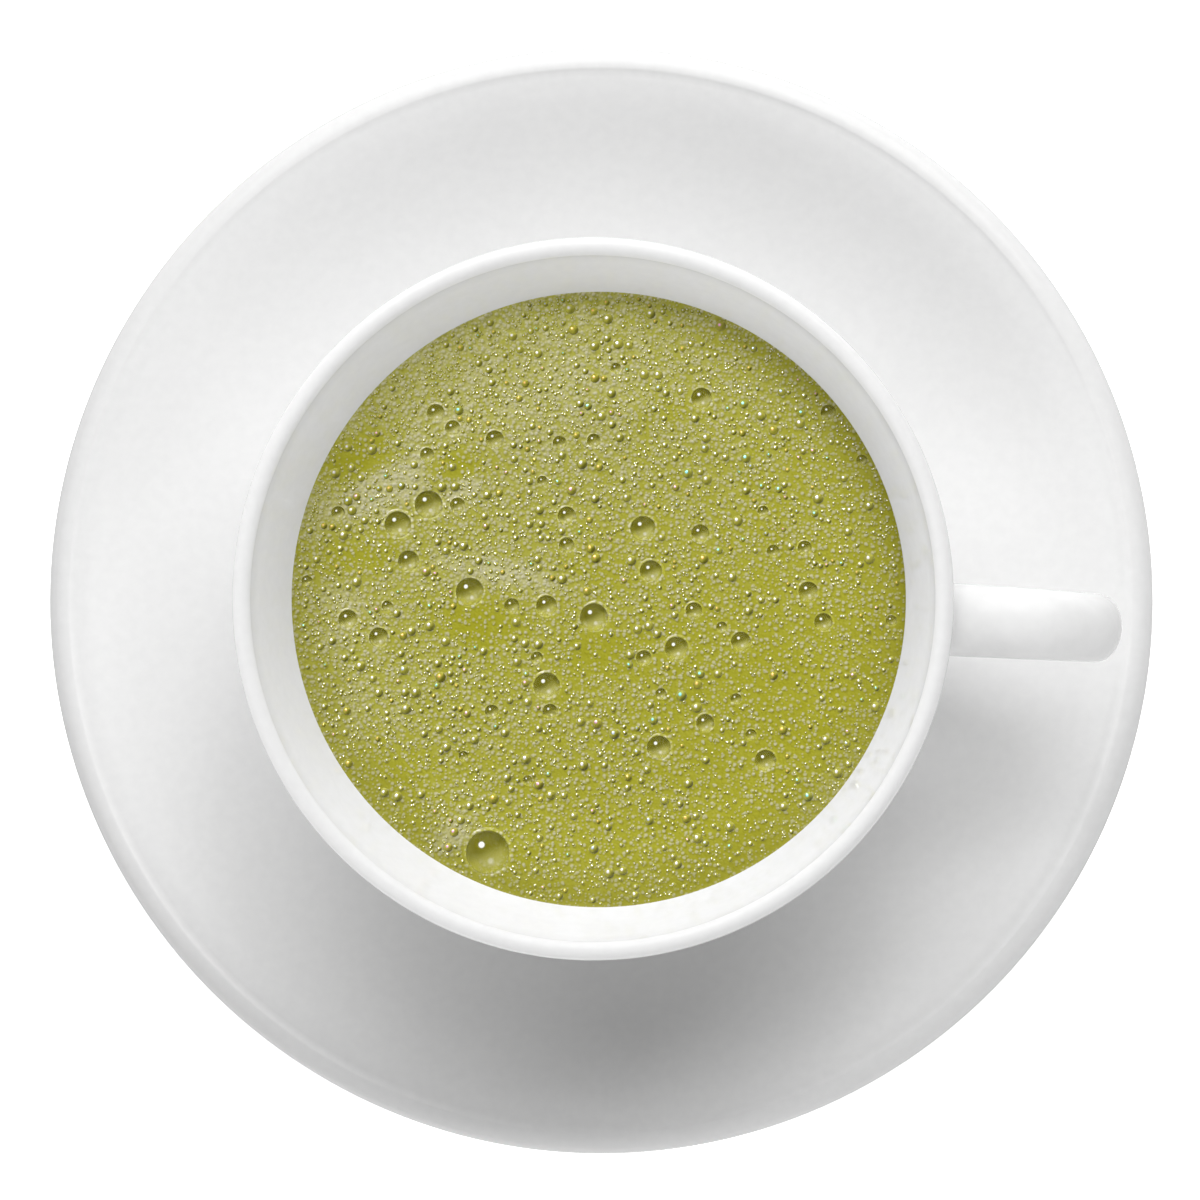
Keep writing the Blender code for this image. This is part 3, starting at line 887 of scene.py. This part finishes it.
matcha = {
    "light": 0.955,               # how bright a white thing would look inside the cup
    "deep": (108, 104, 26),       # painted shade in clear drink; then colours as seen, from the clearest drink to the whitest froth
    "clear": (163, 160, 40),
    "even": (169, 166, 52),
    "pale": (175, 172, 74),
    "white": (195, 191, 134),
    # painted highlights and painted light, on the fine and the large bubbles
    "speck": (220, 215, 196),
    # painted shade along the wall
    "edge": (118, 115, 40),
    "bowl": (180, 176, 102),
    # a bead's painted shade, its body, and its painted glint
    "beadPaintedShade": (82, 80, 20),
    "beadLight": (161, 158, 58),
    "beadPaintedGlint": (222, 218, 228),
    "bounce": (0.74, 0.745, 0.77),
}
froth = {
    "clouds": 3.2 * mm,
    "grain": 1.0 * mm,
    "cloudiness": 0.24,           # how much froth the clouds and the grain add or take
    # less froth where the wall's painted shade falls
    "clearInWallShade": 0.1,
    "packed": ((0.92 * mm, 1.0), (0.56 * mm, 0.7)),       # how far apart the finest bubbles are, strength
    "least": 0.42,                # the share of them that shows in clear drink
    "cover": 0.9,                 # and how much it grows with the froth
    # how strongly the fine bubbles' painted glints and painted shade show
    "paintedGlintStrength": 0.52,
    "paintedShadeStrength": 0.34,
    "tilt": 0.05 * mm,            # their height
    "tiltStrength": 0.7,
    # how dark the painted shade along the wall is
    "wallPaintedShade": 0.5,
    "roughness": (0.4, 0.26),     # of the froth, and of a large bubble's wet bowl
    "specular": (0.25, 0.05),
}
# painted light and shade on large bubbles and beads: ranges run from the light side to the side given painted
# shade, in shares of the radius, and a painted dot is its place, towards the dark side and across, and where
# it is full and gone
shine = {
    # painted shade across a large bubble's bowl
    "bowlPaintedShade": (-0.42, 0.36),
    "bowlTone": 0.7,
    "gatheredPaintedLight": ((-0.41, -0.06, 0), 0.04, 0.2),           # painted light, where the light through a bubble gathers
    "gatheredPaintedLightTone": 0.85,
    # a painted white highlight on the froth just outside a large bubble
    "paintedEdgeHighlight": (0.98, 1.3),
    "lamp": ((0.42, -0.09, 0), 0.1, 0.19),                # a painted reflection of the lamp in the film
    "filmAlpha": 0.07,
    # painted shade on a bead's far side
    "beadPaintedShade": (-0.25, 0.65),
    "beadClouds": 2.5 * mm,
    # a painted glint on a bead's near side
    "beadPaintedGlint": ((-0.3, 0, 0), 0.08, 0.42),
    "beadPaintedGlintTone": 0.9,
}


def frothColour(name):
    return tuple(c / matcha["light"] for c in toLinear(matcha[name])) + (1,)


def addMark(tree, label):
    return addNode(tree, "ShaderNodeAttribute", attribute_name=label).outputs["Fac"]


def addSpot(tree):
    # how far a point lies towards the side of its bubble given painted shade, and its whole spot
    spot = addNode(tree, "ShaderNodeAttribute", attribute_name="spot").outputs["Vector"]
    return addNode(tree, "ShaderNodeSeparateXYZ", {"Vector": spot}).outputs["X"], spot


def addPaintedLight(tree, colour):
    # painted light: the colour raised where the wall's shade falls at the top
    gain = addMath(tree, "ADD", addMark(tree, "paintedLight"), 1.0)
    made = addNode(tree, "ShaderNodeVectorMath", {0: colour, "Scale": gain}, operation="SCALE")
    return made.outputs["Vector"]


def addFrothAmount(tree, where, wall):
    # how much froth, with its clouds and grain, and less by the wall, along its painted shade
    broad = addGroup(tree, softPatches, {"Vector": where, "Size": froth["clouds"]})
    close = addGroup(tree, softPatches, {"Vector": where, "Size": froth["grain"]})
    swing = froth["cloudiness"]
    amount = addMath(tree, "MULTIPLY_ADD", broad.outputs["Value"], swing, -swing)
    amount = addMath(tree, "MULTIPLY_ADD", close.outputs["Value"], swing, amount)
    amount = addMath(tree, "MULTIPLY_ADD", wall, -froth["clearInWallShade"], amount)
    return addMath(tree, "ADD", addMark(tree, "froth"), amount)


def addFrothRamp(tree, amount):
    ramp = addNode(tree, "ShaderNodeValToRGB", {"Fac": amount})
    stops = ramp.color_ramp.elements
    stops[0].position, stops[0].color = 0.0, frothColour("clear")
    stops[1].position, stops[1].color = 1.0, frothColour("white")
    stops.new(0.35).color = frothColour("even")
    stops.new(0.65).color = frothColour("pale")
    return ramp.outputs["Color"]


def addPackedBubbles(tree, where, amount, frothy, colour):
    # the bubbles too fine to be modelled, more of them where there is more froth; gives colour, with painted
    # glints and painted shade on them, and height
    height = 0.0
    for size, strength in froth["packed"]:
        packed = addGroup(tree, microBubbles, {"Vector": where, "Size": size})
        left = addMath(tree, "MULTIPLY_ADD", amount, froth["cover"], froth["least"])
        left = addMath(tree, "SUBTRACT", left, packed.outputs["Pick"])
        shown = addMath(tree, "MULTIPLY", addRange(tree, left, 0.0, 0.25), frothy)
        shade = addMath(tree, "MULTIPLY", packed.outputs["PaintedShade"], shown)
        shade = addMath(tree, "MULTIPLY", shade, froth["paintedShadeStrength"] * strength)
        glint = addMath(tree, "MULTIPLY", packed.outputs["PaintedGlint"], shown)
        glint = addMath(tree, "MULTIPLY", glint, froth["paintedGlintStrength"] * strength)
        colour = mixColours(tree, shade, colour, frothColour("deep"))
        colour = mixColours(tree, glint, colour, frothColour("speck"))
        height = addMath(tree, "MULTIPLY_ADD", packed.outputs["Height"], strength, height)
    return colour, height


def makeFroth():
    tree, shader, material = startMaterial("matcha_froth")
    place = addNode(tree, "ShaderNodeTexCoord")
    middle = addNode(tree, "ShaderNodeMapping", {"Vector": place.outputs["Object"],
                                                 "Location": (-cupFoot.x, 0, -level)})
    where = middle.outputs["Vector"]
    side, spot = addSpot(tree)
    bowl = addMark(tree, "bowl")
    wall = addMark(tree, "wall")
    # painted shade on one side of a large bubble's bowl
    dark = addMath(tree, "MULTIPLY", addRange(tree, side, *shine["bowlPaintedShade"]), bowl)
    outside = addMath(tree, "SUBTRACT", 1.0, bowl)
    frothy = addMath(tree, "SUBTRACT", 1.0, dark)
    amount = addFrothAmount(tree, where, wall)
    colour, height = addPackedBubbles(tree, where, amount, frothy, addFrothRamp(tree, amount))
    # a large bubble: painted shade on one side of its bowl, painted light gathered in the other, and a
    # painted white highlight on the edge outside it
    inner = addMath(tree, "MULTIPLY", addDot(tree, spot, (0, 0, 0), 0.5, 1.0), bowl)
    gatheredPaintedLight = addMath(tree, "MULTIPLY", addDot(tree, spot, *shine["gatheredPaintedLight"]), bowl)
    edge = addMath(tree, "MULTIPLY", addRange(tree, side, *shine["paintedEdgeHighlight"]), outside)
    inner = addMath(tree, "MULTIPLY", inner, shine["bowlTone"])
    gatheredPaintedLight = addMath(tree, "MULTIPLY", gatheredPaintedLight, shine["gatheredPaintedLightTone"])
    # painted shade along the wall
    wall = addMath(tree, "MULTIPLY", wall, froth["wallPaintedShade"])
    layers = ((inner, "bowl"), (dark, "deep"), (gatheredPaintedLight, "speck"), (edge, "speck"), (wall, "edge"))
    for share, name in layers:
        colour = mixColours(tree, share, colour, frothColour(name))
    colour = addPaintedLight(tree, colour)
    # what it throws on the porcelain is neutral
    ray = addNode(tree, "ShaderNodeLightPath").outputs["Is Camera Ray"]
    colour = mixColours(tree, ray, (*matcha["bounce"], 1), colour)
    bump = addNode(tree, "ShaderNodeBump", {"Height": addMath(tree, "MULTIPLY", height, outside),
                                            "Strength": froth["tiltStrength"],
                                            "Distance": froth["tilt"]})
    tree.links.new(colour, shader.inputs["Base Color"])
    tree.links.new(bump.outputs["Normal"], shader.inputs["Normal"])
    for name, ends in (("Roughness", froth["roughness"]), ("Specular IOR Level", froth["specular"])):
        tree.links.new(addRange(tree, bowl, 0.0, 1.0, *ends), shader.inputs[name])
    shader.inputs["IOR"].default_value = 1.34
    return material


def makeFilm():
    # clear but for a painted round reflection of the lamp
    tree, shader, material = startMaterial("bubble_film")
    lamp = addDot(tree, addSpot(tree)[1], *shine["lamp"])
    colour = mixColours(tree, lamp, frothColour("even"), (0.98, 0.98, 0.97, 1))
    tree.links.new(colour, shader.inputs["Base Color"])
    tree.links.new(addRange(tree, lamp, 0.0, 1.0, shine["filmAlpha"], 1.0), shader.inputs["Alpha"])
    shader.inputs["Roughness"].default_value = 0.03
    shader.inputs["IOR"].default_value = 1.9
    return material


def makeBeadSkin(name, tint, darkness):
    tree, shader, material = startMaterial(name)
    place = addNode(tree, "ShaderNodeTexCoord").outputs["Object"]
    cloud = addGroup(tree, softPatches, {"Vector": place, "Size": shine["beadClouds"]})
    side, spot = addSpot(tree)
    # painted shade towards the bead's far side, in patches
    dark = addMath(tree, "MULTIPLY", addRange(tree, side, *shine["beadPaintedShade"], 0.0, darkness),
                   addRange(tree, cloud.outputs["Value"], 0.0, 1.0, 0.5, 1.0))
    colour = mixColours(tree, dark, frothColour("beadLight"), frothColour("beadPaintedShade"))
    # a painted glint on the near side, tinted on the shimmering ones
    dot = addMath(tree, "MULTIPLY", addDot(tree, spot, *shine["beadPaintedGlint"]), shine["beadPaintedGlintTone"])
    tinted = tuple(a * b for a, b in zip(frothColour("beadPaintedGlint"), (*tint, 1)))
    colour = addPaintedLight(tree, mixColours(tree, dot, colour, tinted))
    tree.links.new(colour, shader.inputs["Base Color"])
    shader.inputs["Roughness"].default_value = 0.16
    shader.inputs["IOR"].default_value = 1.4
    shader.inputs["Specular Tint"].default_value = (*tint, 1)
    return material


whiteFroth = makeFroth()
for piece in (drink, hollows):
    piece.data.materials.append(whiteFroth)
films.data.materials.append(makeFilm())
tints = {"clear": (1, 1, 1), "tiny": (1, 1, 1), "rosy": (1, 0.5, 0.8), "aqua": (0.3, 1, 1),
         "amber": (1, 0.6, 0.2), "blue": (0.6, 0.75, 1)}
for kind, piece in beads.items():
    # less painted shade on the tiny ones
    darkness = 0.6 if kind == "tiny" else 1.0
    piece.data.materials.append(makeBeadSkin("bubble_" + kind, tints[kind], darkness))
print("drink's materials made")

# floor and light
studio = {
    "world": 0.04,
    "floorSize": 16,
    "floorSeen": {"white": 0.85, "glow": 0.8},
    "floorMirrored": {"white": 0.12, "glow": 0.66},
}
# each lamp's azimuth, degrees off the vertical, distance, width and height, and radiance
lamps = {
    "softbox": (90, 51, 1.2, (1.75, 1.0), 1.2),
    "softboxSheen": (90, 51, 1.2, (1.75, 1.0), 1.65),     # seen in the gloss alone
    "softboxHeart": (90, 46, 1.3, (0.8, 0.35), 2.8),
    "softboxFoot": (100, 70, 1.2, (1.4, 0.4), 2.05),
    "top": (90, 20, 1.3, (0.5, 0.5), 3.8),
    "topRight": (60, 30, 1.3, (0.5, 0.3), 8.6),
    "frontLow": (270, 68, 1.2, (0.9, 0.5), 3.0),
    "frontLeft": (215, 45, 1.3, (0.7, 0.7), 0.7),
    "frontRight": (325, 45, 1.3, (0.7, 0.7), 0.35),
    "cupLeft": (200, 74, 1.2, (0.9, 0.6), 2.8),
    "cupFront": (290, 74, 1.2, (0.9, 0.6), 0.8),
    "cupRight": (340, 74, 1.2, (0.9, 0.6), 0.9),
    "lipLeft": (222, 84, 1.2, (1.3, 0.2), 2.5),
    "lipRight": (338, 84, 1.2, (1.3, 0.2), 2.2),
    "spark": (lampAzimuth, 40, 1.2, (0.44, 0.44), 190.0),         # seen in the wet bubbles alone
}


def makeFloor():
    bpy.ops.object.select_all(action="DESELECT")
    bpy.ops.mesh.primitive_plane_add(size=studio["floorSize"], location=(0, 0, 0))
    floor = bpy.context.active_object
    floor.name = "floor"
    bpy.ops.object.transform_apply(location=True, rotation=True, scale=True)
    tree, shader, material = startMaterial("pale_floor")
    # white to the eye, darker and even where the ware mirrors it
    ray = addNode(tree, "ShaderNodeLightPath").outputs["Is Camera Ray"]
    seen = studio["floorSeen"]
    mirrored = studio["floorMirrored"]
    tone = mixColours(tree, ray, (*[mirrored["white"]] * 3, 1), (*[seen["white"]] * 3, 1))
    glow = addRange(tree, ray, 0.0, 1.0, mirrored["glow"], seen["glow"])
    tree.links.new(tone, shader.inputs["Base Color"])
    tree.links.new(glow, shader.inputs["Emission Strength"])
    shader.inputs["Roughness"].default_value = 0.9
    shader.inputs["Emission Color"].default_value = (1, 1, 1, 1)
    floor.data.materials.append(material)


def makeWorld():
    world = bpy.data.worlds.new("world")
    bpy.context.scene.world = world
    world.use_nodes = True
    sky = world.node_tree.nodes["Background"]
    sky.inputs["Color"].default_value = (1, 1, 1, 1)
    sky.inputs["Strength"].default_value = studio["world"]


def addLight(name, shape="RECTANGLE"):
    azimuth, offVertical, distance, size, radiance = lamps[name]
    away = skyDirection(azimuth, offVertical)
    bpy.ops.object.select_all(action="DESELECT")
    bpy.ops.object.light_add(type="AREA", location=away * distance)
    lamp = bpy.context.active_object
    lamp.name = name
    lamp.rotation_mode = "QUATERNION"
    lamp.rotation_quaternion = away.to_track_quat("Z", "Y")
    lamp.data.shape = shape
    lamp.data.size, lamp.data.size_y = size
    lamp.data.energy = radiance * math.pi * size[0] * size[1]
    lamp.visible_camera = False
    return lamp


def gather(name, pieces):
    made = bpy.data.collections.new(name)
    for piece in pieces:
        made.objects.link(piece)
    return made


def makeStudio():
    makeFloor()
    makeWorld()
    addLight("softbox")
    for name in ("softboxHeart", "softboxFoot", "top", "topRight", "frontLow", "frontLeft", "frontRight"):
        addLight(name).visible_glossy = False
    addLight("softboxSheen").visible_diffuse = False
    # low lamps that reach the cup alone or the saucer alone
    for piece, names in ((cup, ("cupLeft", "cupRight", "cupFront")), (saucer, ("lipLeft", "lipRight"))):
        alone = gather(piece.name + "_alone", [piece])
        for name in names:
            lamp = addLight(name)
            lamp.light_linking.receiver_collection = alone
            lamp.visible_glossy = False
    spark = addLight("spark", "ELLIPSE")
    spark.visible_diffuse = False
    spark.light_linking.receiver_collection = gather("wet", [hollows, *beads.values()])
    bpy.context.scene.view_settings.view_transform = "Standard"


makeStudio()
print("studio lit")

for piece, node, finish in ((saucer, "saucer", "porcelain"), (cup, "cup", "porcelain"),
                            (drink, "matcha_latte", "matcha")):
    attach(piece, "root")
    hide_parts(node)
for piece in (hollows, films, *beads.values()):
    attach(piece, "root")
